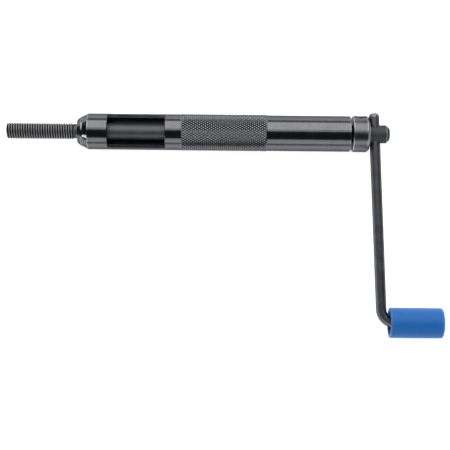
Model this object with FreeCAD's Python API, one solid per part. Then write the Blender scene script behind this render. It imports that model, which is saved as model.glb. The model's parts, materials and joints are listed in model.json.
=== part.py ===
"""Hand-cranked installer for wire-coil thread inserts, M10 size.

Frame: origin at the centre of the nose's front face, +X back along the spindle towards the crank,
+Z up through the loading window, and the crank arm lying towards -Y. Millimetres.
"""
import FreeCAD, Part
import math
import os

V = FreeCAD.Vector
ORIGIN = V(0, 0, 0)
AXIS = V(1, 0, 0)

# driving dimensions
THREAD_D = 9.9            # crest of the mandrel's M10 x 1.5 thread, which an insert closes onto
NECK_D = 8.8              # plain blank in front of the shoulder
SHANK_D = 10.5
HEAD_D = 11.0
CHAMBER_D = 18.0          # bore of the barrel
FRONT_D = 21.8            # barrel around the loading window
KNURL_D = 22.05           # over the knurl's crests
REAR_D = 21.6
COLLAR_D = 21.9
ROD_D = 6.35
GRIP_D = 18.5
RUNNING = 0.05            # radial clearance of a running fit

TIP_X = -42.8
THREAD_END_X = -2.5
BARREL_FRONT_X = 3.3
CONE_END_X = 6.4
WINDOW_X = (18.3, 53.1)
WINDOW_FLOOR_Z = 4.0      # the window is one flat cut that removes everything above this height
KNURL_X = (62.6, 114.5)
BARREL_END_X = 165.2
TRAVEL_BUSH_X = (56.0, 64.0)
GUIDE_BUSH_X = (147.0, 162.6)
COLLAR_X = (166.3, 176.3)
HEAD_END_X = 188.9

CRANK_X = 180.0           # where the rod crosses the spindle
ROD_TOP_Y = 12.75
ROD_TOP_ROUNDING = 2.2
ARM_REACH = 114.45        # from the spindle's axis to the grip's axis
ARM_LEAN = 2.88           # degrees between the arm and a square crossing
BEND_R = 8.5
GRIP_X = (190.3, 222.9)
ROD_END_X = 220.6
SCREW_TILT = 15.5         # degrees from +Y towards +Z of the collar's set screw
SCREW_D = 6.0

# the arm droops until grip and knurl lie on the same table
DROOP = math.degrees(math.asin((KNURL_D - GRIP_D) / 2 / ARM_REACH))


def turned(outline):
    """Solid of revolution about the spindle axis from a closed outline of (x, radius) points."""
    points = [V(x, r, 0) for x, r in outline]
    face = Part.Face(Part.makePolygon(points + points[:1]))
    return face.revolve(ORIGIN, AXIS, 360)


def ring(x_range, outer_d, inner_d):
    x0, x1 = x_range
    outer, inner = outer_d / 2, inner_d / 2
    return turned([(x0, inner), (x0, outer), (x1, outer), (x1, inner)])


def drill(start, direction, depth, diameter):
    return Part.makeCylinder(diameter / 2, depth, start, direction)


def cut_box(x_range, y_range, z_range):
    low = V(x_range[0], y_range[0], z_range[0])
    high = V(x_range[1], y_range[1], z_range[1])
    size = high - low
    return Part.makeBox(size.x, size.y, size.z, low)


def hexagon(across_flats, depth, start, direction):
    """Hexagonal prism for a key socket."""
    corner = across_flats / math.sqrt(3)
    points = [V(corner * math.cos(math.radians(60 * i)), corner * math.sin(math.radians(60 * i)), 0)
              for i in range(7)]
    prism = Part.Face(Part.makePolygon(points)).extrude(V(0, 0, depth))
    prism.Placement = FreeCAD.Placement(start, FreeCAD.Rotation(V(0, 0, 1), direction))
    return prism


def open_ring(x_range, outer_d, inner_d, gap_deg):
    """Spring clip: a ring with a gap at the bottom."""
    clip = ring(x_range, outer_d, inner_d)
    half = math.radians(gap_deg / 2)
    reach = outer_d
    wedge = Part.makePolygon([
        V(x_range[0] - 1, 0, 0),
        V(x_range[0] - 1, reach * math.sin(half), -reach * math.cos(half)),
        V(x_range[0] - 1, -reach * math.sin(half), -reach * math.cos(half)),
        V(x_range[0] - 1, 0, 0),
    ])
    return clip.cut(Part.Face(wedge).extrude(V(x_range[1] - x_range[0] + 2, 0, 0)))


def round_rims(shape, rims):
    """Rounds circular edges, each named by its centre's x, its radius and the rounding."""
    for x, radius, rounding in rims:
        edges = [e for e in shape.Edges
                 if isinstance(e.Curve, Part.Circle)
                 and abs(e.Curve.Center.x - x) < 0.01
                 and abs(e.Curve.Radius - radius) < 0.01]
        shape = shape.makeFillet(rounding, edges)
    return shape


def in_crank_plane(shape):
    """Lets a shape made in the level plane droop with the arm."""
    shape = shape.copy()
    shape.rotate(ORIGIN, AXIS, DROOP)
    return shape


def on_leg(shape):
    """Moves a shape turned about the spindle axis onto the grip's axis."""
    shape = shape.copy()
    shape.translate(V(0, -ARM_REACH, 0))
    return in_crank_plane(shape)


# barrel and what is fixed in it

LAND_R = 9.05             # cylindrical land between the cartridge's cone and the barrel's
NOSE_SHANK_D = 16.0
NOSE_FACE_R = 7.25
NOSE_CONE_X = 2.4
WINDING_THREAD_R = 5.2    # the thread that winds an insert smaller, at its crests
ENTRY_R = 6.3             # clear bore behind the winding thread
ENTRY_X = 11.1
SNAP_GROOVE_X = (GUIDE_BUSH_X[1], GUIDE_BUSH_X[1] + 1.1)
SNAP_GROOVE_D = 19.0
SNAP_RING_BORE_D = 15.0
SNAP_RING_GAP = 50        # degrees
BUSH_BORE_D = SHANK_D + 2 * RUNNING


def barrel():
    front, knurl, rear = FRONT_D / 2, KNURL_D / 2, REAR_D / 2
    chamber = CHAMBER_D / 2
    edge, ramp = 0.5, 0.3
    outline = [
        (BARREL_FRONT_X, LAND_R + 0.15),
        (CONE_END_X, front),
        (KNURL_X[0], front),
        (KNURL_X[0] + ramp, knurl),
        (KNURL_X[1] - ramp, knurl),
        (KNURL_X[1], rear),
        (BARREL_END_X - edge, rear),
        (BARREL_END_X, rear - edge),
        (BARREL_END_X, chamber),
        (SNAP_GROOVE_X[1], chamber),
        (SNAP_GROOVE_X[1], SNAP_GROOVE_D / 2),
        (SNAP_GROOVE_X[0], SNAP_GROOVE_D / 2),
        (SNAP_GROOVE_X[0], chamber),
        (WINDOW_X[0], chamber),
        (WINDOW_X[0], NOSE_SHANK_D / 2),
        (BARREL_FRONT_X, NOSE_SHANK_D / 2),
    ]
    window = cut_box(WINDOW_X, (-KNURL_D, KNURL_D), (WINDOW_FLOOR_Z, KNURL_D))
    return turned(outline).cut(window)


def nose_cartridge():
    shank_r, mouth = NOSE_SHANK_D / 2, 0.5
    outline = [
        (0, NOSE_FACE_R),
        (NOSE_CONE_X, LAND_R),
        (BARREL_FRONT_X, LAND_R),
        (BARREL_FRONT_X, shank_r),
        (WINDOW_X[0], shank_r),
        (WINDOW_X[0], ENTRY_R),
        (ENTRY_X, ENTRY_R),
        (ENTRY_X - (ENTRY_R - WINDING_THREAD_R), WINDING_THREAD_R),
        (mouth, WINDING_THREAD_R),
        (0, WINDING_THREAD_R + mouth),
    ]
    return turned(outline)


def rear_guide_bush():
    return ring(GUIDE_BUSH_X, CHAMBER_D, BUSH_BORE_D)


def rear_snap_ring():
    return open_ring(SNAP_GROOVE_X, SNAP_GROOVE_D, SNAP_RING_BORE_D, SNAP_RING_GAP)


# carriage that slides with the spindle but doesn't turn

O_RING_SECTION_R = 0.9
CIRCLIP_GROOVE_D = 9.6
CIRCLIP_T = 1.0
CIRCLIP_D = 13.0
CIRCLIP_GAP = 36          # degrees
LUG_TURN = 26             # degrees from the middle of the gap to a lug
LUG_CENTRE_R = 6.0
LUG_D = 2.6
LUG_HOLE_D = 1.1
END_FLOAT = 0.2
FRONT_CLIP_X = (TRAVEL_BUSH_X[0] - END_FLOAT - CIRCLIP_T, TRAVEL_BUSH_X[0] - END_FLOAT)
REAR_CLIP_X = (TRAVEL_BUSH_X[1] + END_FLOAT, TRAVEL_BUSH_X[1] + END_FLOAT + CIRCLIP_T)
TRAVEL_BUSH_R = CHAMBER_D / 2 - RUNNING
O_RING_X = sum(TRAVEL_BUSH_X) / 2
O_RING_CENTRE_R = TRAVEL_BUSH_R - O_RING_SECTION_R


def o_ring_groove():
    half = O_RING_SECTION_R
    return (O_RING_X - half, O_RING_X + half), O_RING_CENTRE_R - O_RING_SECTION_R


def travel_bush():
    x0, x1 = TRAVEL_BUSH_X
    groove_x, groove_r = o_ring_groove()
    outer, inner, edge = TRAVEL_BUSH_R, BUSH_BORE_D / 2, 0.3
    outline = [
        (x0, inner), (x0, outer - edge), (x0 + edge, outer),
        (groove_x[0], outer), (groove_x[0], groove_r), (groove_x[1], groove_r), (groove_x[1], outer),
        (x1 - edge, outer), (x1, outer - edge), (x1, inner),
    ]
    return turned(outline)


def drag_o_ring():
    return Part.makeTorus(O_RING_CENTRE_R, O_RING_SECTION_R, V(O_RING_X, 0, 0), AXIS)


# spindle and what is fixed on it

SHOULDER_X = 12.6
PINCH_SCREW_D = 5.0
PINCH_SCREW_X = (CRANK_X + ROD_D / 2 + RUNNING, HEAD_END_X - 0.8)
PINCH_SCREW_POINT_R = 1.6
PINCH_KEY = 2.5
SOCKET_DEPTH = 2.0
TANG_NOTCH_DEPTH = 2.6
TANG_NOTCH_Z = -1.2


def rod_axis():
    """Direction of the arm in its own level plane, from the spindle towards the grip."""
    lean = math.radians(ARM_LEAN)
    return V(math.sin(lean), -math.cos(lean), 0)


def spindle():
    thread, neck, shank, head = THREAD_D / 2, NECK_D / 2, SHANK_D / 2, HEAD_D / 2
    groove = CIRCLIP_GROOVE_D / 2
    lead, shoulder, head_chamfer = 0.6, 0.4, 2.0
    outline = [
        (TIP_X, 0), (TIP_X, thread - lead), (TIP_X + lead, thread),
        (THREAD_END_X, thread), (THREAD_END_X + thread - neck, neck),
        (SHOULDER_X, neck), (SHOULDER_X, shank - shoulder), (SHOULDER_X + shoulder, shank),
    ]
    for x0, x1 in (FRONT_CLIP_X, REAR_CLIP_X):
        outline += [(x0, shank), (x0, groove), (x1, groove), (x1, shank)]
    outline += [
        (COLLAR_X[1] + 0.3, shank), (COLLAR_X[1] + 0.3, head),
        (HEAD_END_X - head_chamfer, head), (HEAD_END_X, head - head_chamfer), (HEAD_END_X, 0),
    ]
    body = turned(outline)

    crossing = V(CRANK_X, 0, 0)
    rod_hole = drill(crossing - rod_axis() * HEAD_D, rod_axis(), 2 * HEAD_D, ROD_D)
    screw_hole = drill(crossing, AXIS, HEAD_END_X - CRANK_X + 1, PINCH_SCREW_D)
    tang_notch = cut_box((TIP_X - 1, TIP_X + TANG_NOTCH_DEPTH), (-0.9, 0.9), (-THREAD_D, TANG_NOTCH_Z))
    return body.cut(in_crank_plane(rod_hole)).cut(screw_hole).cut(tang_notch)


def circlip(x_range):
    """External circlip: an open ring with two drilled lugs beside its gap."""
    clip = open_ring(x_range, CIRCLIP_D, CIRCLIP_GROOVE_D, CIRCLIP_GAP)
    inside = drill(V(x_range[0] - 1, 0, 0), AXIS, x_range[1] - x_range[0] + 2, CIRCLIP_GROOVE_D)
    t = x_range[1] - x_range[0]
    for side in (-1, 1):
        angle = math.radians(-90 + side * LUG_TURN)
        centre = V(x_range[0], LUG_CENTRE_R * math.cos(angle), LUG_CENTRE_R * math.sin(angle))
        lug = drill(centre, AXIS, t, LUG_D)
        hole = drill(centre - AXIS, AXIS, t + 2, LUG_HOLE_D)
        clip = clip.fuse(lug.cut(inside))
        clip = clip.cut(hole)
    return clip.removeSplitter()


ROD_CLIP_T = 0.8
ROD_CLIP_GROOVE_D = 5.2
ROD_CLIP_D = 10.4
ROD_CLIP_GAP = 60         # degrees
WASHER_T = 0.8
WASHER_D = 11.4
INNER_SEAT_X = 200.0      # shoulders inside the grip that the two washers run against
OUTER_SEAT_X = 217.6
WASHER_PLAY = 0.1
INNER_WASHER_X = (INNER_SEAT_X - WASHER_PLAY - WASHER_T, INNER_SEAT_X - WASHER_PLAY)
OUTER_WASHER_X = (OUTER_SEAT_X + WASHER_PLAY, OUTER_SEAT_X + WASHER_PLAY + WASHER_T)
INNER_CLIP_X = (INNER_WASHER_X[0] - ROD_CLIP_T, INNER_WASHER_X[0])
OUTER_CLIP_X = (OUTER_WASHER_X[1], OUTER_WASHER_X[1] + ROD_CLIP_T)


def crank_rod():
    """Round rod: a leaning arm, one bend, and a leg that is parallel to the spindle."""
    arm = rod_axis()
    corner = V(CRANK_X, 0, 0) + arm * (ARM_REACH / -arm.y)
    turn = 90 - ARM_LEAN
    tangent = BEND_R * math.tan(math.radians(turn / 2))
    top = V(CRANK_X, 0, 0) - arm * (ROD_TOP_Y / -arm.y)
    bend_start = corner - arm * tangent
    bend_end = corner + AXIS * tangent
    bend_centre = bend_end + V(0, BEND_R, 0)

    straight_arm = drill(top, arm, (bend_start - top).Length, ROD_D)
    top_rim = min(straight_arm.Edges, key=lambda e: (e.CenterOfMass - top).Length)
    straight_arm = straight_arm.makeFillet(ROD_TOP_ROUNDING, [top_rim])
    section = Part.Face(Part.Wire(Part.Circle(bend_start, arm, ROD_D / 2).toShape()))
    bend = section.revolve(bend_centre, V(0, 0, 1), turn)

    r, edge, groove = ROD_D / 2, 0.5, ROD_CLIP_GROOVE_D / 2
    leg = [(bend_end.x, 0), (bend_end.x, r)]
    for x0, x1 in (INNER_CLIP_X, OUTER_CLIP_X):
        leg += [(x0, r), (x0, groove), (x1, groove), (x1, r)]
    leg += [(ROD_END_X - edge, r), (ROD_END_X, r - edge), (ROD_END_X, 0)]
    straight_leg = turned(leg)
    straight_leg.translate(V(0, -ARM_REACH, 0))
    rod = straight_arm.fuse([bend, straight_leg]).removeSplitter()
    return in_crank_plane(rod)


def crank_set_screw():
    x0, x1 = PINCH_SCREW_X
    r, point = PINCH_SCREW_D / 2, PINCH_SCREW_POINT_R
    screw = turned([(x0, 0), (x0, point), (x0 + r - point, r), (x1, r), (x1, 0)])
    return screw.cut(hexagon(PINCH_KEY, SOCKET_DEPTH, V(x1, 0, 0), -AXIS))


def rod_clip(x_range):
    return on_leg(open_ring(x_range, ROD_CLIP_D, ROD_CLIP_GROOVE_D, ROD_CLIP_GAP))


def rod_washer(x_range):
    return on_leg(ring(x_range, WASHER_D, ROD_D + 4 * RUNNING))


# depth collar with its clamping screw

SCREW_AXIS = V(0, math.cos(math.radians(SCREW_TILT)), math.sin(math.radians(SCREW_TILT)))
SCREW_X = sum(COLLAR_X) / 2
PAD_R = (SHANK_D / 2 + 0.02, 6.4)      # inner and outer radius of the brass pad
SCREW_R = (6.42, 10.0)
SCREW_KEY = 3.0
SINK_R = 4.0              # countersink at the collar's surface


def at_screw(radius):
    return V(SCREW_X, 0, 0) + SCREW_AXIS * radius


def depth_collar():
    x0, x1 = COLLAR_X
    outer, bore = COLLAR_D / 2, BUSH_BORE_D / 2
    front_edge, rear_edge = 0.45, 1.3
    outline = [
        (x0, bore), (x0, outer - front_edge), (x0 + front_edge, outer),
        (x1 - rear_edge, outer), (x1, outer - rear_edge), (x1, bore),
    ]
    tapped = drill(at_screw(0), SCREW_AXIS, COLLAR_D, SCREW_D + 2 * RUNNING)
    sink = Part.makeCone(0, SINK_R + 1, SINK_R + 1, at_screw(outer - SINK_R), SCREW_AXIS)
    return turned(outline).cut(tapped).cut(sink)


def collar_pad():
    return drill(at_screw(PAD_R[0]), SCREW_AXIS, PAD_R[1] - PAD_R[0], SCREW_D - 1.0)


def collar_screw():
    low, high = SCREW_R
    r, edge = SCREW_D / 2, 0.7
    point = Part.makeCone(r - edge, r, edge, at_screw(low), SCREW_AXIS)
    body = drill(at_screw(low + edge), SCREW_AXIS, high - low - edge, SCREW_D)
    socket = hexagon(SCREW_KEY, SOCKET_DEPTH, at_screw(high), -SCREW_AXIS)
    return point.fuse(body).removeSplitter().cut(socket)


# grip

GRIP_MOUTH_D = 14.6
GRIP_REAR_D = 12.2


def grip():
    x0, x1 = GRIP_X
    outer, mouth, rear = GRIP_D / 2, GRIP_MOUTH_D / 2, GRIP_REAR_D / 2
    bore = ROD_D / 2 + 1.5 * RUNNING
    outline = [
        (x0, mouth), (x0, outer), (x1, outer), (x1, rear),
        (OUTER_SEAT_X, rear), (OUTER_SEAT_X, bore), (INNER_SEAT_X, bore), (INNER_SEAT_X, mouth),
    ]
    rims = [(x0, outer, 0.6), (x0, mouth, 0.4), (x1, outer, 1.4), (x1, rear, 0.4)]
    return on_leg(round_rims(turned(outline), rims))


def parts():
    return {
        "barrel": barrel(),
        "nose_cartridge": nose_cartridge(),
        "rear_guide_bush": rear_guide_bush(),
        "rear_snap_ring": rear_snap_ring(),
        "travel_bush": travel_bush(),
        "drag_o_ring": drag_o_ring(),
        "spindle": spindle(),
        "front_circlip": circlip(FRONT_CLIP_X),
        "rear_circlip": circlip(REAR_CLIP_X),
        "depth_collar": depth_collar(),
        "collar_pad": collar_pad(),
        "collar_screw": collar_screw(),
        "crank_rod": crank_rod(),
        "crank_set_screw": crank_set_screw(),
        "grip": grip(),
        "grip_inner_clip": rod_clip(INNER_CLIP_X),
        "grip_inner_washer": rod_washer(INNER_WASHER_X),
        "grip_outer_washer": rod_washer(OUTER_WASHER_X),
        "grip_outer_clip": rod_clip(OUTER_CLIP_X),
    }


os.makedirs("parts", exist_ok=True)
for name, shape in parts().items():
    box = shape.BoundBox
    print(f"{name:20s} valid {shape.isValid()} solids {len(shape.Solids)} volume {shape.Volume:9.1f}"
          f" x {box.XMin:7.2f} {box.XMax:7.2f} y {box.YMin:7.2f} {box.YMax:7.2f}"
          f" z {box.ZMin:6.2f} {box.ZMax:6.2f}")
    shape.exportStep(f"parts/{name}.step")
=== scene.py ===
import json
import math

import bmesh
import bpy
import numpy as np
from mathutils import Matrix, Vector


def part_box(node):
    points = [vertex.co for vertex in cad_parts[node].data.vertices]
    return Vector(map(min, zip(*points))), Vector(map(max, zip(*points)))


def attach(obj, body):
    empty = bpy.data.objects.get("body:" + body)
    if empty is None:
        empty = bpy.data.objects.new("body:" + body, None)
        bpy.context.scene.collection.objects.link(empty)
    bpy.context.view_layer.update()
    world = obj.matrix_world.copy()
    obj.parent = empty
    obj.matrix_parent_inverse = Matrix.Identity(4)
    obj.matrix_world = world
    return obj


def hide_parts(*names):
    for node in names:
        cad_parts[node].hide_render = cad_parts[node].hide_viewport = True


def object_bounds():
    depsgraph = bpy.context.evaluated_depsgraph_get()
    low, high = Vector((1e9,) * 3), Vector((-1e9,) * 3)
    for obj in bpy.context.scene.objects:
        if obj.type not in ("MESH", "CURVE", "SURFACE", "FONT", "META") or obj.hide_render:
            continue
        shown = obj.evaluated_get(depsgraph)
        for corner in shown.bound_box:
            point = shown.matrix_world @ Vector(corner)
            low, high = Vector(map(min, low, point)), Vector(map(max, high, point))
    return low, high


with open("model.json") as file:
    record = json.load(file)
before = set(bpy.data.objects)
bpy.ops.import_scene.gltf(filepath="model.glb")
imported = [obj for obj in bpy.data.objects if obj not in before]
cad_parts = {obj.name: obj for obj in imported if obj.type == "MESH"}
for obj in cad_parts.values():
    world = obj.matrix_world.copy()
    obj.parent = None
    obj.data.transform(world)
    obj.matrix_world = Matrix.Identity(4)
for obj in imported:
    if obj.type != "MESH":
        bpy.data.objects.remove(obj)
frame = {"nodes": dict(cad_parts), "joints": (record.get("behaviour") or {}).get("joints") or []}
cadLow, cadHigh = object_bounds()      # the box of the CAD model, before anything is replaced

mm = 0.001                         # sizes below are in millimetres


def nodeBox(node):
    # lowest and highest corner of a CAD node in millimetres
    low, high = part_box(node)
    return np.array(low) / mm, np.array(high) / mm


# colours and nodes

def linear(hexColour):
    # sRGB hex to linear light
    channels = [int(hexColour[i:i + 2], 16) / 255 for i in (1, 3, 5)]
    return tuple(c / 12.92 if c <= 0.04045 else ((c + 0.055) / 1.055) ** 2.4 for c in channels) + (1,)


def addNode(tree, kind, settings=None, links=None):
    # one node, with its settings by property or socket name and its incoming links by socket name
    node = tree.nodes.new("ShaderNode" + kind)
    for key, value in (settings or {}).items():
        if isinstance(key, str) and hasattr(node, key):
            setattr(node, key, value)
        else:
            node.inputs[key].default_value = value
    for key, output in (links or {}).items():
        tree.links.new(output, node.inputs[key])
    return node


def newMaterial(name):
    material = bpy.data.materials.new(name)
    material.use_nodes = True
    material.node_tree.nodes.clear()
    return material, material.node_tree


def closeMaterial(tree, shader):
    addNode(tree, "OutputMaterial", links={"Surface": shader.outputs[0]})


def perMetre(sizeInMm):
    # a noise scale that gives features of this size
    return 1 / (sizeInMm * mm)


# finishes

turnedFinishes = {
    # tint darkens what is seen at a glancing angle, lines is the spacing of the tool rings in mm,
    # cut their strength, mottle the spread of tone, edgeMark the share of bare steel on a sharp edge
    "barrel": {"colour": "#646568", "worn": "#9a9c9f", "tint": 0.42, "metal": 1.0, "rough": 0.14,
               "lines": 0.45, "cut": 0.05, "mottle": 0.07, "edgeMark": 0.8},
    "nose": {"colour": "#606165", "worn": "#96989c", "tint": 0.4, "metal": 1.0, "rough": 0.15,
             "lines": 0.35, "cut": 0.07, "mottle": 0.08, "edgeMark": 0.65},
    "spindle": {"colour": "#5a5b5e", "worn": "#a4a6a9", "tint": 0.3, "metal": 0.7, "rough": 0.45,
                "lines": 0.30, "cut": 0.12, "mottle": 0.10, "edgeMark": 0.7},
    "collar": {"colour": "#66676a", "worn": "#a2a4a7", "tint": 0.4, "metal": 1.0, "rough": 0.26,
               "lines": 0.40, "cut": 0.08, "mottle": 0.08, "edgeMark": 0.8},
}


def turnedBlackSteel(name, finish):
    # Steel turned on a lathe and then hot blackened: a thin oxide that keeps the metal's gloss but
    # reflects about an eighth of the light, faint rings left by the cutting tool, cloudy patches
    # where the bath took unevenly, and bare steel showing through on the sharp edges.
    material, tree = newMaterial(name)
    place = addNode(tree, "TexCoord").outputs["Object"]
    along = addNode(tree, "SeparateXYZ", links={"Vector": place}).outputs["X"]
    ringAt = addNode(tree, "Math", {"operation": "MULTIPLY", 1: perMetre(finish["lines"])}, {0: along})
    rings = addNode(tree, "TexNoise", {"noise_dimensions": "1D", "Scale": 1.0, "Detail": 2.0},
                    {"W": ringAt.outputs[0]}).outputs["Fac"]
    clouds = addNode(tree, "TexNoise", {"Scale": perMetre(6.0), "Detail": 5.0, "Roughness": 0.6},
                     {"Vector": place}).outputs["Fac"]
    grain = addNode(tree, "TexNoise", {"Scale": perMetre(0.35), "Detail": 2.0},
                    {"Vector": place}).outputs["Fac"]

    shade = addNode(tree, "MapRange", {"From Min": 0.3, "From Max": 0.7, "To Min": 1 - finish["mottle"],
                                       "To Max": 1 + finish["mottle"]}, {"Value": clouds})
    ringShade = addNode(tree, "MapRange", {"From Min": 0.3, "From Max": 0.7, "To Min": 0.95, "To Max": 1.05},
                        {"Value": rings})
    # painted shade: a point mask darkens thread roots, knurl grooves and the shank behind the barrel down to
    # 0.18 of their colour, and the same mask raises their roughness
    shadeMask = addNode(tree, "Attribute", {"attribute_name": "paintedShade"}).outputs["Fac"]
    unshaded = addNode(tree, "MapRange", {"To Min": 1.0, "To Max": 0.18}, {"Value": shadeMask})
    mottleUnderShade = addNode(tree, "Math", {"operation": "MULTIPLY"}, {0: shade.outputs[0], 1: unshaded.outputs[0]})
    shades = addNode(tree, "Math", {"operation": "MULTIPLY"},
                     {0: mottleUnderShade.outputs[0], 1: ringShade.outputs[0]})
    oxide = addNode(tree, "VectorMath", {"operation": "SCALE", 0: linear(finish["colour"])[:3]},
                    {"Scale": shades.outputs[0]})

    edge = addNode(tree, "Attribute", {"attribute_name": "edgeWearAndHighlight"}).outputs["Fac"]
    chips = addNode(tree, "TexNoise", {"Scale": perMetre(0.9), "Detail": 4.0},
                    {"Vector": place}).outputs["Fac"]
    chipped = addNode(tree, "Math", {"operation": "MULTIPLY_ADD", 1: 1.1}, {0: chips, 2: edge})
    bare = addNode(tree, "MapRange", {"From Min": 0.95, "From Max": 1.45, "To Max": finish["edgeMark"]},
                   {"Value": chipped.outputs[0]})
    colour = addNode(tree, "Mix", {"data_type": "RGBA", 7: linear(finish["worn"])},
                     {0: bare.outputs[0], 6: oxide.outputs[0]})

    cloudRough = addNode(tree, "MapRange", {"From Min": 0.3, "From Max": 0.7,
                                            "To Min": finish["rough"] - 0.03,
                                            "To Max": finish["rough"] + 0.03}, {"Value": clouds})
    dulled = addNode(tree, "Math", {"operation": "MULTIPLY_ADD", 1: 0.4}, {0: shadeMask, 2: cloudRough.outputs[0]})
    rough = addNode(tree, "Math", {"operation": "MULTIPLY_ADD", 1: 0.04}, {0: grain, 2: dulled.outputs[0]})
    height = addNode(tree, "Math", {"operation": "MULTIPLY_ADD", 1: 0.5}, {0: grain, 2: rings})
    bump = addNode(tree, "Bump", {"Strength": finish["cut"], "Distance": 0.03 * mm},
                   {"Height": height.outputs[0]})
    shader = addNode(tree, "BsdfPrincipled",
                     {"Metallic": finish["metal"], "Specular Tint": (finish["tint"],) * 3 + (1,)},
                     {"Base Color": colour.outputs[2], "Roughness": rough.outputs[0],
                      "Normal": bump.outputs["Normal"]})
    closeMaterial(tree, shader)
    return material


def drawnBlackSteel(name, finish):
    # Bright-drawn bar, bent and then blackened: duller than the turned parts, with fine lines that
    # run along the bar and follow its bend.
    material, tree = newMaterial(name)
    place = addNode(tree, "Attribute", {"attribute_name": "straightened"}).outputs["Vector"]
    stretched = addNode(tree, "Mapping", {"Scale": (1 / 25, 1 / 0.5, 1 / 0.5)}, {"Vector": place})
    lines = addNode(tree, "TexNoise", {"Scale": 1.0, "Detail": 3.0},
                    {"Vector": stretched.outputs[0]}).outputs["Fac"]
    clouds = addNode(tree, "TexNoise", {"Scale": 1 / 5, "Detail": 5.0}, {"Vector": place}).outputs["Fac"]
    shade = addNode(tree, "MapRange", {"From Min": 0.3, "From Max": 0.7, "To Min": 0.84, "To Max": 1.16},
                    {"Value": clouds})
    oxide = addNode(tree, "VectorMath", {"operation": "SCALE", 0: linear(finish["colour"])[:3]},
                    {"Scale": shade.outputs[0]})
    edge = addNode(tree, "Attribute", {"attribute_name": "edgeWearAndHighlight"}).outputs["Fac"]
    bare = addNode(tree, "MapRange", {"From Min": 0.2, "From Max": 1.2, "To Max": finish["edgeMark"]},
                   {"Value": edge})
    colour = addNode(tree, "Mix", {"data_type": "RGBA", 7: linear(finish["worn"])},
                     {0: bare.outputs[0], 6: oxide.outputs[0]})
    rough = addNode(tree, "MapRange", {"From Min": 0.3, "From Max": 0.7, "To Min": finish["rough"] - 0.05,
                                       "To Max": finish["rough"] + 0.06}, {"Value": lines})
    bump = addNode(tree, "Bump", {"Strength": 0.15, "Distance": 0.03 * mm}, {"Height": lines})
    shader = addNode(tree, "BsdfPrincipled", {"Metallic": 1.0, "Specular Tint": (finish["tint"],) * 3 + (1,)},
                     {"Base Color": colour.outputs[2], "Roughness": rough.outputs[0],
                      "Normal": bump.outputs["Normal"]})
    closeMaterial(tree, shader)
    return material


def mouldedPolypropylene(name, finish):
    # Injection-moulded polypropylene from a lightly blasted tool: an even colour right through, a soft
    # satin gloss broken by fine pebbling, and a painted highlight, a paler blue mixed into the rounded edges.
    material, tree = newMaterial(name)
    place = addNode(tree, "TexCoord").outputs["Object"]
    flow = addNode(tree, "TexNoise", {"Scale": perMetre(9.0), "Detail": 3.0},
                   {"Vector": place}).outputs["Fac"]
    pebble = addNode(tree, "TexNoise", {"Scale": perMetre(finish["pebble"]), "Detail": 2.0},
                     {"Vector": place}).outputs["Fac"]
    tint = addNode(tree, "MapRange", {"From Min": 0.3, "From Max": 0.7, "To Min": 0.94, "To Max": 1.05},
                   {"Value": flow})
    plastic = addNode(tree, "VectorMath", {"operation": "SCALE", 0: linear(finish["colour"])[:3]},
                      {"Scale": tint.outputs[0]})
    edge = addNode(tree, "Attribute", {"attribute_name": "edgeWearAndHighlight"}).outputs["Fac"]
    # painted highlight: up to 0.22 of a paler blue on the convex edges
    edgeHighlight = addNode(tree, "Math", {"operation": "MULTIPLY", 1: 0.22}, {0: edge})
    colour = addNode(tree, "Mix", {"data_type": "RGBA", 7: linear(finish["edgeHighlight"])},
                     {0: edgeHighlight.outputs[0], 6: plastic.outputs[0]})
    rough = addNode(tree, "MapRange", {"From Min": 0.3, "From Max": 0.7, "To Min": finish["rough"] - 0.05,
                                       "To Max": finish["rough"] + 0.05}, {"Value": flow})
    bump = addNode(tree, "Bump", {"Strength": 0.25, "Distance": 0.04 * mm}, {"Height": pebble})
    shader = addNode(tree, "BsdfPrincipled",
                     {"IOR": 1.49, "Specular IOR Level": 0.28, "Subsurface Weight": 0.06,
                      "Subsurface Radius": (0.3, 0.5, 1.0), "Subsurface Scale": 1.2 * mm},
                     {"Base Color": colour.outputs[2], "Roughness": rough.outputs[0],
                      "Normal": bump.outputs["Normal"]})
    closeMaterial(tree, shader)
    return material


smallFinishes = {
    # oil-soaked sintered bronze: brown metal with open pores, so it looks dull and speckled
    "sinteredBronze": {"colour": "#8a6a43", "dark": "#3d2c1a",
                       "rough": 0.42, "metal": 1.0, "size": 0.35, "cut": 0.5},
    # machined brass: clear yellow metal with a light tarnish
    "machinedBrass": {"colour": "#c3a05c", "dark": "#8c6d38",
                      "rough": 0.28, "metal": 1.0, "size": 0.8, "cut": 0.15},
    # nitrile rubber: deep black, no gloss, dusted with fine powder
    "nitrileRubber": {"colour": "#1c1c1d", "dark": "#0e0e0f",
                      "rough": 0.62, "metal": 0.0, "size": 0.5, "cut": 0.3},
    # phosphated spring steel: dark grey with a brown cast and a fine crystal that kills the gloss
    "phosphatedSpring": {"colour": "#5a5653", "dark": "#35322f",
                         "rough": 0.40, "metal": 1.0, "size": 0.3, "cut": 0.3},
    # zinc-plated mild steel: pale metal with a slightly cloudy, bluish plate
    "zincPlate": {"colour": "#b4b8bc", "dark": "#8b9095",
                  "rough": 0.30, "metal": 1.0, "size": 1.2, "cut": 0.12},
    # painted shade for the inside of the screw hole: black and dull
    "paintedShadeBore": {"colour": "#29292a", "dark": "#141415",
                   "rough": 0.60, "metal": 0.3, "size": 0.5, "cut": 0.3},
    # blackened alloy screw steel: darker than the barrel, forged socket, oily
    "screwSteel": {"colour": "#56575a", "dark": "#37383a",
                   "rough": 0.30, "metal": 1.0, "size": 0.6, "cut": 0.2},
}


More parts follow.
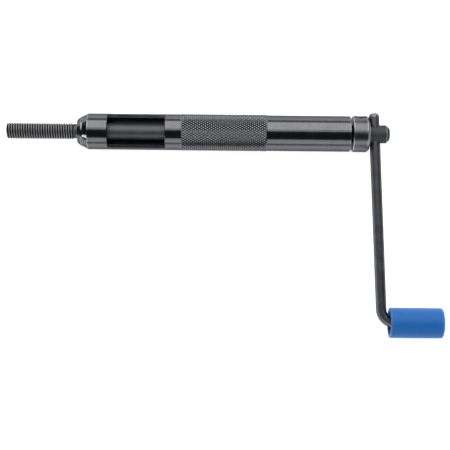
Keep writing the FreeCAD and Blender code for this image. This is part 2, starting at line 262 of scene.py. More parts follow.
def smallPartFinish(name, finish):
    # two tones of one substance mixed by a noise of the grain's own size, with the same noise as relief
    material, tree = newMaterial(name)
    place = addNode(tree, "TexCoord").outputs["Object"]
    grain = addNode(tree, "TexNoise", {"Scale": perMetre(finish["size"]), "Detail": 5.0, "Roughness": 0.6},
                    {"Vector": place}).outputs["Fac"]
    share = addNode(tree, "MapRange", {"From Min": 0.32, "From Max": 0.62}, {"Value": grain})
    colour = addNode(tree, "Mix", {"data_type": "RGBA", 6: linear(finish["dark"]),
                                   7: linear(finish["colour"])}, {0: share.outputs[0]})
    rough = addNode(tree, "MapRange", {"From Min": 0.3, "From Max": 0.7, "To Min": finish["rough"] + 0.08,
                                       "To Max": finish["rough"] - 0.04}, {"Value": grain})
    bump = addNode(tree, "Bump", {"Strength": finish["cut"], "Distance": 0.05 * mm}, {"Height": grain})
    shader = addNode(tree, "BsdfPrincipled", {"Metallic": finish["metal"]},
                     {"Base Color": colour.outputs[2], "Roughness": rough.outputs[0],
                      "Normal": bump.outputs["Normal"]})
    closeMaterial(tree, shader)
    return material


barrelSteel = turnedBlackSteel("turnedBlackBarrelSteel", turnedFinishes["barrel"])
noseSteel = turnedBlackSteel("turnedBlackNoseSteel", turnedFinishes["nose"])
spindleSteel = turnedBlackSteel("turnedBlackSpindleSteel", turnedFinishes["spindle"])
collarSteel = turnedBlackSteel("turnedBlackCollarSteel", turnedFinishes["collar"])
rodSteel = drawnBlackSteel("drawnBlackRodSteel",
                           {"colour": "#707175", "worn": "#9b9da0", "tint": 0.05, "rough": 0.42, "edgeMark": 0.4})
# the paler blue is the colour of the painted edge highlight
gripPlastic = mouldedPolypropylene("mouldedBluePolypropylene",
                                   {"colour": "#2071c3", "edgeHighlight": "#78a8e0", "rough": 0.46, "pebble": 0.45})
smallMaterials = {name: smallPartFinish(name, finish) for name, finish in smallFinishes.items()}
print("finishes made:", len(bpy.data.materials))


# surfaces

def roundedOutline(corners, closed=False, longestRow=4.0):
    # An outline of (along, radius) points from its corners. A corner's third number is its rounding,
    # an arc that touches both sides; its fourth is the number of even rows in the run after it.
    # The last array is 1 on convex corners and falls off as exp(-distance / 0.35).
    at = np.array([corner[:2] for corner in corners], float)
    count = len(at)
    chains, convexAt = [], []
    for k in range(count):
        rounding = corners[k][2] if len(corners[k]) > 2 else 0
        inner = closed or 0 < k < count - 1
        before, after = at[k] - at[k - 1], at[(k + 1) % count] - at[k]
        turn = math.atan2(before[0] * after[1] - before[1] * after[0], before @ after)
        if not inner or abs(turn) < 1e-6:
            chains.append(at[k:k + 1])
            convexAt.append(False)
            continue
        before, after = before / np.linalg.norm(before), after / np.linalg.norm(after)
        convexAt.append(turn < 0)
        if not rounding:
            chains.append(at[k:k + 1])
            continue
        reach = rounding * math.tan(abs(turn) / 2)
        start = at[k] - before * reach
        side = math.copysign(1, turn) * np.array([-before[1], before[0]])
        swept = np.linspace(0, turn, max(3, math.ceil(abs(turn) / math.radians(20))) + 1)[:, None]
        centre = start + side * rounding
        chains.append(centre + (start - centre) * np.cos(swept)
                      + np.array([-(start - centre)[1], (start - centre)[0]]) * np.sin(swept))
    rows, marks = [], []
    for k in range(count):
        rows.append(chains[k])
        marks.append(np.full(len(chains[k]), convexAt[k]))
        if k == count - 1 and not closed:
            break
        start, end = chains[k][-1], chains[(k + 1) % count][0]
        length = np.linalg.norm(end - start)
        if len(corners[k]) > 3:
            share = np.linspace(0, 1, corners[k][3] + 1)[1:-1]
        elif length > 2.5:
            guards = np.array([0.3, 0.9]) / length
            share = np.linspace(0, 1, max(2, math.ceil(length / longestRow)) + 1)[1:-1]
            share = np.unique(np.concatenate([guards, share, 1 - guards]))
            share = share[np.concatenate([[True], np.diff(share) * length > 0.2])]
        else:
            share = np.array([0.5]) if length > 0.6 else np.array([])
        rows.append(start + (end - start) * share[:, None])
        marks.append(np.zeros(len(share), bool))
    rows, marks = np.concatenate(rows), np.concatenate(marks)
    run = np.concatenate([[0], np.cumsum(np.linalg.norm(np.diff(rows, axis=0), axis=1))])
    apart = np.abs(run[:, None] - run[marks][None, :]) if marks.any() else np.full((len(run), 1), 99.0)
    return rows[:, 0], rows[:, 1], np.exp(-apart.min(axis=1) / 0.35)


def turnedSurface(along, radius, columns):
    # a surface of revolution about X: (along, radius cos angle, radius sin angle)
    angle = np.arange(columns) * 2 * np.pi / columns
    return np.stack([along[:, None] + 0 * angle, radius[:, None] * np.cos(angle),
                     radius[:, None] * np.sin(angle)], -1)


def gridQuads(rows, columns, closed):
    # quads between neighbouring rows and columns, facing out; the columns always close
    i = np.arange(rows if closed else rows - 1)[:, None]
    j = np.arange(columns)[None, :]
    nextRow, nextColumn = (i + 1) % rows, (j + 1) % columns
    return np.stack([i * columns + j, i * columns + nextColumn,
                     nextRow * columns + nextColumn, nextRow * columns + j], -1)


def aboutAxis(grid, origin, direction):
    # carries a turned surface from X onto any axis: origin + along * direction + the two side directions
    direction = np.array(direction, float) / np.linalg.norm(direction)
    side = np.cross(direction, [0.0, 0.0, 1.0] if abs(direction[2]) < 0.9 else [1.0, 0.0, 0.0])
    side /= np.linalg.norm(side)
    other = np.cross(direction, side)
    return np.array(origin, float) + grid @ np.stack([direction, side, other])


def meshPiece(name, points, faces, material, edgeMark=None, straightened=None, paintedShade=None, sharpAngle=38):
    # a mesh object from points in millimetres, its doubles merged and its sharp edges marked
    mesh = bpy.data.meshes.new(name)
    mesh.from_pydata((points.reshape(-1, 3) * mm).tolist(), [], faces)
    # point masks: edge marks, painted shade, and the bar's unbent coordinates
    for attribute, kind, values in (("edgeWearAndHighlight", "FLOAT", edgeMark), ("paintedShade", "FLOAT", paintedShade),
                                    ("straightened", "FLOAT_VECTOR", straightened)):
        if values is not None:
            mesh.attributes.new(attribute, kind, "POINT").data.foreach_set(
                "value" if kind == "FLOAT" else "vector", np.ascontiguousarray(values, np.float32).ravel())
    joined = bmesh.new()
    joined.from_mesh(mesh)
    bmesh.ops.remove_doubles(joined, verts=joined.verts, dist=0.002 * mm)
    bmesh.ops.dissolve_degenerate(joined, edges=joined.edges, dist=0.001 * mm)
    joined.to_mesh(mesh)
    joined.free()
    mesh.shade_smooth()
    mesh.set_sharp_from_angle(angle=math.radians(sharpAngle))
    mesh.materials.append(material)
    piece = bpy.data.objects.new(name, mesh)
    bpy.context.scene.collection.objects.link(piece)
    return piece


def turnedPiece(name, corners, columns, material, closed=True, carry=None):
    along, radius, edgeMark = roundedOutline(corners, closed)
    grid = turnedSurface(along, radius, columns)
    placed = carry(grid) if carry else grid
    faces = gridQuads(len(along), columns, closed).reshape(-1, 4).tolist()
    return meshPiece(name, placed, faces, material, np.repeat(edgeMark, columns), grid)


def cutAway(piece, cutters, sharpAngle=38):
    # takes the cutters' volumes out of a piece for good, and removes the cutters
    for cutter in cutters:
        cut = piece.modifiers.new("cut", "BOOLEAN")
        cut.operation, cut.solver, cut.object = "DIFFERENCE", "EXACT", cutter
        cut.material_mode = "TRANSFER"
    cutMesh = bpy.data.meshes.new_from_object(piece.evaluated_get(bpy.context.evaluated_depsgraph_get()))
    piece.modifiers.clear()
    piece.data = cutMesh
    cutMesh.shade_smooth()
    cutMesh.set_sharp_from_angle(angle=math.radians(sharpAngle))
    for cutter in cutters:
        bpy.data.objects.remove(cutter)
    return piece


def takeOver(piece, node, body):
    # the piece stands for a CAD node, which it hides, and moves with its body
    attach(piece, body)
    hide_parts(node)
    print(f"{piece.name}: {len(piece.data.polygons)} faces on {body}")


# barrel: tube with a diamond knurl and a flat-cut loading window

barrelShape = {
    "columns": 276, "window": (18.3, 53.1), "windowFloor": 4.0, "windowRows": 14,
    "front": 9.2, "frontBody": 10.9, "rear": 10.8, "coneEnd": 6.4, "noseBore": 8.0, "chamber": 9.0,
    "snapGroove": (162.6, 163.7, 9.5), "rearEdge": 0.5,
    "knurl": (62.9, 114.1), "knurlStarts": 46, "knurlPeriods": 21, "knurlDepth": 0.3, "crestFlat": 0.4,
    "edgeRound": 0.17,
}


def makeBarrel(shape):
    low, high = nodeBox("barrel")
    x0, x1, crest = low[0], high[0], high[1]
    w0, w1 = shape["window"]
    k0, k1 = shape["knurl"]
    g0, g1, grooveR = shape["snapGroove"]
    columns, chamber = shape["columns"], shape["chamber"]
    knurlRows = shape["knurlPeriods"] * columns // shape["knurlStarts"]
    along, radius, edgeMark = roundedOutline([
        (x0, shape["noseBore"]), (x0, shape["front"], 0.12), (shape["coneEnd"], shape["frontBody"], 0.5),
        (w0, shape["frontBody"], 0, shape["windowRows"]), (w1, shape["frontBody"]),
        (k0 - 0.3, shape["frontBody"]), (k0, crest, 0, knurlRows), (k1, crest), (k1 + 0.4, shape["rear"]),
        (x1 - shape["rearEdge"], shape["rear"], 0.15), (x1, shape["rear"] - shape["rearEdge"], 0.15),
        (x1, chamber, 0.15), (g1, chamber), (g1, grooveR), (g0, grooveR), (g0, chamber),
        (w1, chamber, 0, shape["windowRows"]), (w0, chamber), (w0, shape["noseBore"]),
    ], closed=True)
    rows = len(along)

    # Knurl: two families of helical grooves, u = x / period + start turns and v = x / period - start
    # turns. The height falls from the crest with whichever groove is nearer, and its top is cut flat.
    inKnurl = (along > k0 - 0.01) & (along < k1 + 0.01) & (radius > shape["frontBody"] + 0.05)
    turns = np.arange(columns) * shape["knurlStarts"] / columns
    axial = (along - k0) / (k1 - k0) * shape["knurlPeriods"]
    u, v = axial[:, None] + turns, axial[:, None] - turns

    def groove(phase):
        # 1 on a groove, falling straight to 0 half way to the next
        return 1 - 2 * np.abs((phase + 0.5) % 1 - 0.5)

    nearGroove = np.maximum(groove(u), groove(v))
    sunk = np.clip((nearGroove - shape["crestFlat"]) / (1 - shape["crestFlat"]), 0, 1)
    fade = np.clip(np.minimum(along - k0, k1 - along) / 1.0, 0, 1)
    depth = np.where(inKnurl[:, None], shape["knurlDepth"] * sunk * (0.35 + 0.65 * fade[:, None]), 0)
    fullRadius = radius[:, None] - depth
    wearGrid = np.where(inKnurl[:, None], 1.15 * (1 - sunk) ** 2, edgeMark[:, None] + 0 * turns)
    # painted shade in the knurl grooves, strongest at the groove bottoms and a tenth of it on the crests
    shadeGrid = np.where(inKnurl[:, None], 0.1 + 0.9 * sunk ** 1.4, 0)

    # Outside the knurl each row's columns are swung, in proportion either side, so that the same two
    # columns meet the window's floor on every row: there sin(angle) = floor / radius.
    angle = np.arange(columns) * 2 * np.pi / columns
    firstColumn = round(math.asin(shape["windowFloor"] / shape["frontBody"]) / (2 * np.pi / columns))
    lastColumn = columns // 2 - firstColumn
    even = angle[firstColumn]
    start = np.where(inKnurl, even, np.arcsin(shape["windowFloor"] / radius))[:, None]
    fromTop = angle - np.pi / 2
    above = fromTop * (np.pi / 2 - start) / (np.pi / 2 - even)
    fromBottom = (angle + np.pi / 2 + np.pi) % (2 * np.pi) - np.pi
    below = fromBottom * (np.pi / 2 + start) / (np.pi / 2 + even) - np.pi / 2
    inside = (np.arange(columns) >= firstColumn) & (np.arange(columns) <= lastColumn)
    around = np.where(inside, np.pi / 2 + above, below)
    points = np.stack([along[:, None] + 0 * around,
                       fullRadius * np.cos(around), fullRadius * np.sin(around)], -1)

    quads = gridQuads(rows, columns, True)
    outer = np.flatnonzero((radius > shape["frontBody"] - 0.01) & (along > w0 - 0.01) & (along < w1 + 0.01))
    bore = np.flatnonzero((np.abs(radius - chamber) < 0.01) & (along > w0 - 0.01) & (along < w1 + 0.01))
    open_ = np.zeros(quads.shape[:2], bool)
    open_[outer[0]:outer[-1], firstColumn:lastColumn] = True
    open_[bore[0]:bore[-1], firstColumn:lastColumn] = True
    bore = bore[::-1]              # now both run from the window's front to its rear

    def strip(first, second):
        # quads between two equal lists of point numbers
        return np.stack([first[:-1], first[1:], second[1:], second[:-1]], -1)

    spread = np.arange(firstColumn, lastColumn + 1)
    walls = np.concatenate([
        strip(bore * columns + firstColumn, outer * columns + firstColumn),
        strip(outer * columns + lastColumn, bore * columns + lastColumn),
        strip(outer[0] * columns + spread, bore[0] * columns + spread),
        strip(bore[-1] * columns + spread, outer[-1] * columns + spread),
    ])

    # knurl cells are split along the groove that is nearer, so that grooves and ridges stay straight
    knurlCells = np.zeros(quads.shape[:2], bool)
    knurlCells[:-1] = (inKnurl[:-1] & inKnurl[1:])[:, None]
    uNear = groove(u + shape["knurlStarts"] / columns) > groove(v)      # at each cell's middle
    alongU, alongV = quads[knurlCells & uNear], quads[knurlCells & ~uNear]
    triangles = np.concatenate([alongU[:, [0, 1, 3]], alongU[:, [1, 2, 3]],
                                alongV[:, [0, 1, 2]], alongV[:, [0, 2, 3]]])
    faces = quads[~open_ & ~knurlCells].tolist() + walls.tolist() + triangles.tolist()
    piece = meshPiece("barrelTube", points, faces, barrelSteel, wearGrid, paintedShade=shadeGrid, sharpAngle=15)

    # the window's edges are broken by hand with a fine file
    mesh = piece.data
    place = np.empty(len(mesh.vertices) * 3)
    mesh.vertices.foreach_get("co", place)
    place = place.reshape(-1, 3) / mm
    ends = np.empty(len(mesh.edges) * 2, int)
    mesh.edges.foreach_get("vertices", ends)
    ends = ends.reshape(-1, 2)
    reach = np.hypot(place[:, 1], place[:, 2])
    rim = np.zeros(len(place), bool)
    for r in (shape["frontBody"], chamber):
        y = math.sqrt(r ** 2 - shape["windowFloor"] ** 2)
        onShell = np.abs(reach - r) < 0.02
        inLength = (place[:, 0] > w0 - 0.01) & (place[:, 0] < w1 + 0.01)
        onSides = (np.abs(np.abs(place[:, 1]) - y) < 0.02) & (place[:, 2] > 0)
        onEnds = ((np.abs(place[:, 0] - w0) < 0.01) | (np.abs(place[:, 0] - w1) < 0.01)) \
            & (place[:, 2] > 0) & (np.abs(place[:, 1]) < y + 0.02)
        rim |= onShell & inLength & (onSides | onEnds)
    sameShell = np.abs(reach[ends[:, 0]] - reach[ends[:, 1]]) < 0.05
    weight = (rim[ends].all(axis=1) & sameShell).astype(np.float32)
    mesh.attributes.new("bevel_weight_edge", "FLOAT", "EDGE").data.foreach_set("value", weight)
    bevel = piece.modifiers.new("filedEdges", "BEVEL")
    bevel.limit_method, bevel.width, bevel.segments = "WEIGHT", shape["edgeRound"] * mm, 2
    takeOver(piece, "barrel", "barrel")


makeBarrel(barrelShape)


# nose cartridge: screwed-in front end with the thread that winds an insert smaller

noseShape = {
    "columns": 120, "face": 7.25, "coneEnd": 2.4, "shank": 8.0, "threadCrest": 5.2, "mouth": 0.5,
    "entry": 6.3, "entryX": (10.0, 11.1), "pitch": 1.5, "threadDepth": 0.45,
}


def makeNose(shape):
    low, high = nodeBox("nose_cartridge")
    land, rear, shoulder = high[1], high[0], nodeBox("barrel")[0][0]
    threadR = shape["threadCrest"]
    along, radius, edgeMark = roundedOutline([
        (low[0], threadR + shape["mouth"]), (low[0], shape["face"], 0.2), (shape["coneEnd"], land, 0.25),
        (shoulder, land, 0.12), (shoulder, shape["shank"]),
        (rear, shape["shank"], 0.2), (rear, shape["entry"]),
        (shape["entryX"][1], shape["entry"]), (shape["entryX"][0], threadR, 0, 48),
        (low[0] + shape["mouth"], threadR),
    ], closed=True)
    grid = turnedSurface(along, radius, shape["columns"])
    # Inside thread: the bore opens by depth * (1 - |2 phase - 1|), where phase advances one turn per pitch.
    angle = np.arange(shape["columns"]) / shape["columns"]
    phase = (along[:, None] / shape["pitch"] - angle) % 1
    inThread = np.clip(np.minimum(along - low[0] - shape["mouth"], shape["entryX"][0] - along), 0, 1)
    inThread = np.where(np.abs(radius - threadR) < 0.01, inThread, 0)[:, None]
    opened = inThread * shape["threadDepth"] * (1 - np.abs(2 * phase - 1))
    grid[..., 1:] *= ((radius[:, None] + opened) / radius[:, None])[..., None]
    faces = gridQuads(len(along), shape["columns"], True).reshape(-1, 4).tolist()
    piece = meshPiece("noseCartridge", grid, faces, noseSteel,
                      np.repeat(edgeMark, shape["columns"]), sharpAngle=42)
    takeOver(piece, "nose_cartridge", "barrel")


makeNose(noseShape)


# crank: a rod that leans away from square, bends once and carries the grip

gripLow, gripHigh = nodeBox("grip")
gripCentre = (gripLow + gripHigh) / 2
crankShape = {
    "crossX": 180.0, "lean": math.radians(2.88), "stub": 12.75, "bendR": 8.5,
    "reach": float(np.hypot(gripCentre[1], gripCentre[2])),
    "droop": math.atan2(-gripCentre[2], -gripCentre[1]),
    "rodR": 3.175, "dome": 2.2, "endEdge": 0.5, "clipGroove": 2.6, "end": 220.6,
    "columns": 64, "bendRows": 28,
}


def crankRun(shape):
    # how far along the rod the bend starts and ends, and the leg's first X
    turn = math.pi / 2 - shape["lean"]
    tangent = shape["bendR"] * math.tan(turn / 2)
    armLength = (shape["stub"] + shape["reach"]) / math.cos(shape["lean"]) - tangent
    legX = shape["crossX"] + math.tan(shape["lean"]) * shape["reach"] + tangent
    return armLength, armLength + shape["bendR"] * turn, legX


def droop(points, shape):
    # turns about X until the grip lies on the same table as the knurl
    c, s = math.cos(shape["droop"]), math.sin(shape["droop"])
    return points @ np.array([[1, 0, 0], [0, c, s], [0, -s, c]])


def alongCrank(grid, shape=crankShape):
    # The centre follows heading h(s), which is the lean on the arm, grows evenly round the bend and
    # is 90 degrees on the leg: x gains sin h and y loses cos h. Sides are (cos h, sin h) and Z.
    armLength, bendEnd, _ = crankRun(shape)
    lean, bendR = shape["lean"], shape["bendR"]
    s = grid[..., 0]
    heading = lean + np.clip((s - armLength) / bendR, 0, math.pi / 2 - lean)
    stub = shape["stub"] / math.cos(lean)
    arm = np.minimum(s, armLength)
    x = shape["crossX"] + math.sin(lean) * (arm - stub) + bendR * (math.cos(lean) - np.cos(heading))
    y = -math.cos(lean) * (arm - stub) - bendR * (np.sin(heading) - math.sin(lean))
    x = x + np.maximum(s - bendEnd, 0)
    side = grid[..., 1]
    points = np.stack([x + side * np.cos(heading), y + side * np.sin(heading), grid[..., 2]], -1)
    return droop(points, shape)


def makeCrankRod(shape):
    armLength, bendEnd, legX = crankRun(shape)
    r = shape["rodR"]
    corners = [(0, 0), (0, r, shape["dome"]), (armLength, r, 0, shape["bendRows"]), (bendEnd, r)]
    for clip in ("grip_inner_clip", "grip_outer_clip"):
        low, high = nodeBox(clip)
        g0, g1 = bendEnd + low[0] - legX, bendEnd + high[0] - legX
        corners += [(g0, r), (g0, shape["clipGroove"]), (g1, shape["clipGroove"]), (g1, r)]
    end = bendEnd + shape["end"] - legX
    corners += [(end, r, shape["endEdge"]), (end, 0)]
    piece = turnedPiece("crankRod", corners, shape["columns"], rodSteel, closed=False, carry=alongCrank)
    takeOver(piece, "crank_rod", "spindle")


makeCrankRod(crankShape)


# spindle: threaded mandrel, shank and head in one turned piece

spindleShape = {
    "columns": 96, "pitch": 1.5, "crest": 4.95, "root": 4.05, "lead": 0.6, "threadEnd": -2.5, "joinX": 1.4,
    "neck": 4.4, "shoulderX": 12.6, "shoulder": 0.4, "shank": 5.25, "clipGroove": 4.8, "headX": 176.6,
    "head": 5.5, "headChamfer": 2.0, "screwHole": 2.5, "notchDepth": 2.6, "notchHalf": 0.9, "notchTop": -1.2,
    "rodClearance": 0.06, "rodHoleEdge": 0.45, "rodHoleSink": 0.6, "holeColumns": 64, "notchBottom": -9.0,
    # painted shade on the shank rises between these two places, towards the gap between barrel and collar,
    # and the head keeps this share of it
    "gapShadeX": (158.0, 164.0), "headShade": 0.3,
    # phase along one pitch and share of the thread's height there: flat crest, flank, rounded root, flank
    "profile": ((0.0, 0.94), (0.04, 1.0), (0.24, 1.0), (0.28, 0.94), (0.48, 0.10), (0.53, 0.02),
                (0.62, 0.0), (0.71, 0.02), (0.76, 0.10), (0.97, 0.87)),
}


def threadedEnd(shape, tipX):
    # A sheared grid: row k of a turn sits at pitch * (turns + phase_k + column / columns), so each row
    # is one helix. Past the tip the points are held on the end plane and drawn in to the centre, and
    # past joinX they are held on one plane ring, so both ends close when doubles are merged.
    phases, heights = np.array(shape["profile"]).T
    pitch, columns = shape["pitch"], shape["columns"]
    turnCount = math.ceil((shape["joinX"] - tipX) / pitch) + 4
    base = (np.arange(turnCount)[:, None] + phases).ravel()
    share = np.tile(heights, turnCount)
    column = np.arange(columns)
    x = tipX + pitch * (base[:, None] - 2.2 + column / columns)
    runOut = np.clip((shape["threadEnd"] - x) / pitch + 0.5, 0, 1)
    radius = shape["root"] + (shape["crest"] - shape["root"]) * share[:, None]
    radius = shape["neck"] + (radius - shape["neck"]) * runOut
    radius = np.minimum(radius, shape["crest"] - shape["lead"] + np.maximum(x - tipX, 0))
    radius = radius * np.clip(1 + (x - tipX) / pitch, 0, 1)
    up = np.clip((radius - shape["root"]) / (shape["crest"] - shape["root"]), 0, 1)
    # painted shade in the thread roots, none on the crests
    edgeMark, paintedShade = 1.1 * up ** 2 * runOut, (1 - up) ** 0.7 * runOut * (x > tipX)
    x = np.clip(x, tipX, shape["joinX"])
    angle = column * 2 * np.pi / columns
    points = np.stack([x, radius * np.cos(angle), radius * np.sin(angle)], -1)
    rows, perTurn = len(base), len(phases)
    quads = gridQuads(rows, columns, False)
    # across the seam each row meets the row one pitch further on
    seam = quads[:rows - 1 - perTurn, -1]
    seam[:, 1] += perTurn * columns
    seam[:, 2] += perTurn * columns
    return points, edgeMark, paintedShade, np.concatenate([quads[:, :-1].reshape(-1, 4), seam])


def makeSpindle(shape):
    low, high = nodeBox("spindle")
    tipX, endX = low[0], high[0]
    threadPoints, threadWear, threadShade, threadFaces = threadedEnd(shape, tipX)
    shank, head = shape["shank"], shape["head"]
    corners = [(shape["joinX"], shape["neck"]), (shape["shoulderX"], shape["neck"]),
               (shape["shoulderX"], shank - shape["shoulder"]),
               (shape["shoulderX"] + shape["shoulder"], shank)]
    for clip in ("front_circlip", "rear_circlip"):
        clipLow, clipHigh = nodeBox(clip)
        corners += [(clipLow[0], shank), (clipLow[0], shape["clipGroove"]),
                    (clipHigh[0], shape["clipGroove"]), (clipHigh[0], shank)]
    crossX = crankShape["crossX"]
    corners += [(shape["headX"], shank), (shape["headX"], head, 0.1),
                (endX - shape["headChamfer"], head, 0.3),
                (endX, head - shape["headChamfer"], 0.25), (endX, shape["screwHole"], 0.12),
                (crossX, shape["screwHole"]), (crossX, 0)]
    along, radius, edgeMark = roundedOutline(corners)
    bodyGrid = turnedSurface(along, radius, shape["columns"])
    bodyFaces = gridQuads(len(along), shape["columns"], False).reshape(-1, 4) + threadPoints.size // 3
    points = np.concatenate([threadPoints.reshape(-1, 3), bodyGrid.reshape(-1, 3)])
    faces = np.concatenate([threadFaces, bodyFaces]).tolist()
    allWear = np.concatenate([threadWear.ravel(), np.repeat(edgeMark, shape["columns"])])
    # painted shade on the shank behind the barrel and in the gap to the collar, and a lighter share of it on
    # the head
    bodyShade = np.interp(along, (*shape["gapShadeX"], shape["headX"] - 0.01, shape["headX"] + 0.01),
                         (0, 1, 1, shape["headShade"]))
    allShade = np.concatenate([threadShade.ravel(), np.repeat(bodyShade, shape["columns"])])
    piece = meshPiece("spindle_mandrel", points, faces, spindleSteel, allWear, paintedShade=allShade)

    # cross hole for the rod, with its mouths countersunk
    lean = crankShape["lean"]
    direction = droop(np.array([math.sin(lean), -math.cos(lean), 0.0]), crankShape)
    holeR = crankShape["rodR"] + shape["rodClearance"]
    mouth, sink = shape["rodHoleEdge"], shape["rodHoleSink"]
    reach = math.sqrt(head ** 2 - holeR ** 2)      # where the hole's flanks leave the round head
    hole = [(-2 * head, 0), (-2 * head, holeR + mouth), (-reach - sink, holeR + mouth),
            (-reach, holeR), (reach, holeR),
            (reach + sink, holeR + mouth), (2 * head, holeR + mouth), (2 * head, 0)]
    rodHole = turnedPiece("rodHole", hole, shape["holeColumns"], spindleSteel, closed=False,
                          carry=lambda grid: aboutAxis(grid, (crossX, 0, 0), direction))
    notchPoints = np.array([(x, y, z) for x in (tipX - 1, tipX + shape["notchDepth"])
                            for y in (-shape["notchHalf"], shape["notchHalf"])
                            for z in (shape["notchBottom"], shape["notchTop"])])
    notchFaces = [(0, 1, 3, 2), (4, 6, 7, 5), (0, 4, 5, 1), (2, 3, 7, 6), (0, 2, 6, 4), (1, 5, 7, 3)]
    notch = meshPiece("tangNotch", notchPoints, notchFaces, spindleSteel)
    cutAway(piece, [rodHole, notch])
    takeOver(piece, "spindle", "spindle")


makeSpindle(spindleShape)


# depth collar: sets how far the spindle can go in

collarShape = {
    "columns": 144, "outer": 10.95, "bore": 5.3, "frontEdge": 0.45, "rearEdge": 1.3,
    "screwHole": 3.05, "sink": 4.0, "holeColumns": 64, "holePast": 2.0,
}


def makeCollar(shape):
    low, high = nodeBox("depth_collar")
    screwLow, screwHigh = nodeBox("collar_screw")
    outer, bore, sink, past = shape["outer"], shape["bore"], shape["sink"], shape["holePast"]
    piece = turnedPiece("depthCollar", [
        (low[0], bore, 0.15), (low[0], outer - shape["frontEdge"], 0.15),
        (low[0] + shape["frontEdge"], outer, 0.2), (high[0] - shape["rearEdge"], outer, 0.3),
        (high[0], outer - shape["rearEdge"], 0.25), (high[0], bore, 0.2),
    ], shape["columns"], collarSteel)
    # the clamping screw's hole, countersunk at 45 degrees, points where the screw's joint says
    joint = next(j for j in frame["joints"] if j["name"] == "collar_screw_turn")
    screwX = (screwLow[0] + screwHigh[0]) / 2
    # the hole's walls take the painted-shade finish, standing in for the shade inside the hole
    hole = turnedPiece("screwHole", [
        (bore - past, 0), (bore - past, shape["screwHole"]),
        (outer - sink + shape["screwHole"], shape["screwHole"]),
        (outer + past, sink + past), (outer + past, 0),
    ], shape["holeColumns"], smallMaterials["paintedShadeBore"], closed=False,
        carry=lambda grid: aboutAxis(grid, (screwX, 0, 0), joint["axis"]))
    cutAway(piece, [hole])
    takeOver(piece, "depth_collar", "depth_collar")


makeCollar(collarShape)


# grip: a moulded sleeve that turns on the rod between two washers

gripShape = {
    "columns": 128, "outer": 9.25, "mouth": 7.3, "bore": 3.25, "rear": 6.1,
    "mouthRound": 0.6, "mouthInner": 0.4, "rearRound": 1.4, "rearInner": 0.4,
}


def makeGrip(shape):
    x0, x1 = gripLow[0], gripHigh[0]
    innerSeat = nodeBox("grip_inner_washer")[1][0] + 0.1
    outerSeat = nodeBox("grip_outer_washer")[0][0] - 0.1
    corners = [
        (x0, shape["mouth"], shape["mouthInner"]), (x0, shape["outer"], shape["mouthRound"]),
        (x1, shape["outer"], shape["rearRound"]), (x1, shape["rear"], shape["rearInner"]),
        (outerSeat, shape["rear"]), (outerSeat, shape["bore"]), (innerSeat, shape["bore"]),
        (innerSeat, shape["mouth"]),
    ]
    centre = np.array([0, gripCentre[1], gripCentre[2]])
    piece = turnedPiece("gripSleeve", corners, shape["columns"], gripPlastic,
                        carry=lambda grid: grid + centre)
    takeOver(piece, "grip", "grip")


makeGrip(gripShape)


# CAD parts that stay, with their own finishes

keptNodes = {
    "rear_guide_bush": "sinteredBronze", "travel_bush": "sinteredBronze",
    "drag_o_ring": "nitrileRubber",
    "rear_snap_ring": "phosphatedSpring",
    "front_circlip": "phosphatedSpring", "rear_circlip": "phosphatedSpring",
    "collar_pad": "machinedBrass", "collar_screw": "screwSteel", "crank_set_screw": "screwSteel",
    "grip_inner_clip": "phosphatedSpring", "grip_outer_clip": "phosphatedSpring",
    "grip_inner_washer": "zincPlate", "grip_outer_washer": "zincPlate",
}
for node, materialName in keptNodes.items():
    for materialSlot in frame["nodes"][node].material_slots:
        materialSlot.material = smallMaterials[materialName]
print("kept nodes finished:", len(keptNodes))


# stage: a pale table that glows a little, soft boxes either side of the tool, and a dim room

stageSet = {
    "tableSize": 16.0, "tableColour": "#f4f4f5", "tableGlow": 0.80,
    "roomTop": 0.04, "roomHorizon": 0.48,
    # direction to each soft box, its distance, width and length in metres, and its radiance
    "boxes": {
        "mainBox": ((0, 0.707, 0.707), 1.6, 1.49, 2.4, 2.2),
        "spillBox": ((0, 0.242, 0.970), 1.6, 0.34, 2.4, 1.2),
        "fillBox": ((0, -0.863, 0.505), 1.6, 0.80, 2.4, 1.3),
        "endBox": ((-0.869, -0.414, 0.271), 1.4, 0.24, 0.24, 6.0),
    },
}


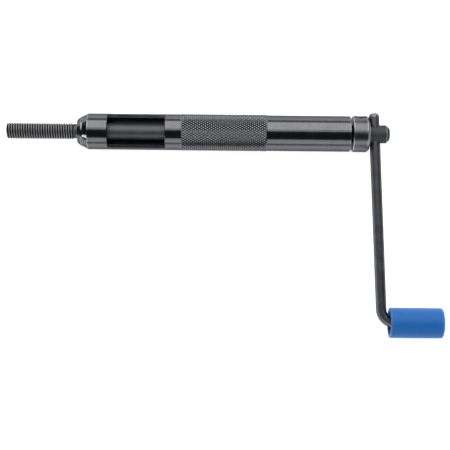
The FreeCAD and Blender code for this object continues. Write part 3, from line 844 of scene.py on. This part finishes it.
def makeStage(settings):
    half = settings["tableSize"] / 2
    tableZ = cadLow[2]
    corners = np.array([(-half, -half, 0), (half, -half, 0), (half, half, 0), (-half, half, 0)]) / mm
    corners[:, 2] = tableZ / mm
    # plain white laminate table, lit a little from below so that it stays pale round the tool
    material, tree = newMaterial("paleTable")
    shader = addNode(tree, "BsdfPrincipled", {
        "Base Color": linear(settings["tableColour"]), "Roughness": 0.9, "Specular IOR Level": 0.1,
        "Emission Color": (1, 1, 1, 1), "Emission Strength": settings["tableGlow"]})
    closeMaterial(tree, shader)
    table = meshPiece("table", corners, [(0, 1, 2, 3)], material)

    world = bpy.data.worlds.new("dimRoom")
    bpy.context.scene.world = world
    world.use_nodes = True
    tree = world.node_tree
    tree.nodes.clear()
    # pale walls on the two long sides, fading out from 12 to 37 degrees up, and a dark room elsewhere
    way = addNode(tree, "SeparateXYZ", links={"Vector": addNode(tree, "TexCoord").outputs["Generated"]})
    low = addNode(tree, "MapRange", {"interpolation_type": "SMOOTHSTEP", "From Min": 0.2, "From Max": 0.6,
                                     "To Min": 1.0, "To Max": 0.0}, {"Value": way.outputs["Z"]})
    side = addNode(tree, "Math", {"operation": "ABSOLUTE"}, {0: way.outputs["Y"]})
    toSide = addNode(tree, "MapRange", {"interpolation_type": "SMOOTHSTEP", "From Min": 0.3, "From Max": 0.9},
                     {"Value": side.outputs[0]})
    wall = addNode(tree, "Math", {"operation": "MULTIPLY"}, {0: low.outputs[0], 1: toSide.outputs[0]})
    level = addNode(tree, "MapRange", {"To Min": settings["roomTop"], "To Max": settings["roomHorizon"]},
                    {"Value": wall.outputs[0]})
    sky = addNode(tree, "Background", {"Color": (1, 1, 1, 1)}, {"Strength": level.outputs[0]})
    addNode(tree, "OutputWorld", links={"Surface": sky.outputs[0]})

    target = Vector(((cadLow[0] + cadHigh[0]) / 2, 0, 0))
    for name, (direction, distance, width, length, radiance) in settings["boxes"].items():
        light = bpy.data.lights.new(name, "AREA")
        light.shape, light.size, light.size_y = "RECTANGLE", width, length
        light.energy = radiance * math.pi * length * width       # watts that give this radiance
        box = bpy.data.objects.new(name, light)
        bpy.context.scene.collection.objects.link(box)
        box.location = target + Vector(direction).normalized() * distance
        box.rotation_euler = Vector(direction).to_track_quat("Z", "X").to_euler()
        box.visible_camera = False


makeStage(stageSet)

cameraSet = {"over": (0.0898, -0.0560, 0.6677), "roll": 0.6, "lens": 88.0, "sensor": 36.0, "farClip": 50.0}
camera = bpy.data.cameras.new("overheadCamera")
camera.lens, camera.sensor_width = cameraSet["lens"], cameraSet["sensor"]
camera.clip_end = cameraSet["farClip"]
cameraObject = bpy.data.objects.new("overheadCamera", camera)
bpy.context.scene.collection.objects.link(cameraObject)
cameraObject.location = cameraSet["over"]
cameraObject.rotation_euler = (0, 0, math.radians(cameraSet["roll"]))
bpy.context.scene.camera = cameraObject
bpy.context.scene.view_settings.view_transform = "Standard"
print("stage, lights and camera set")
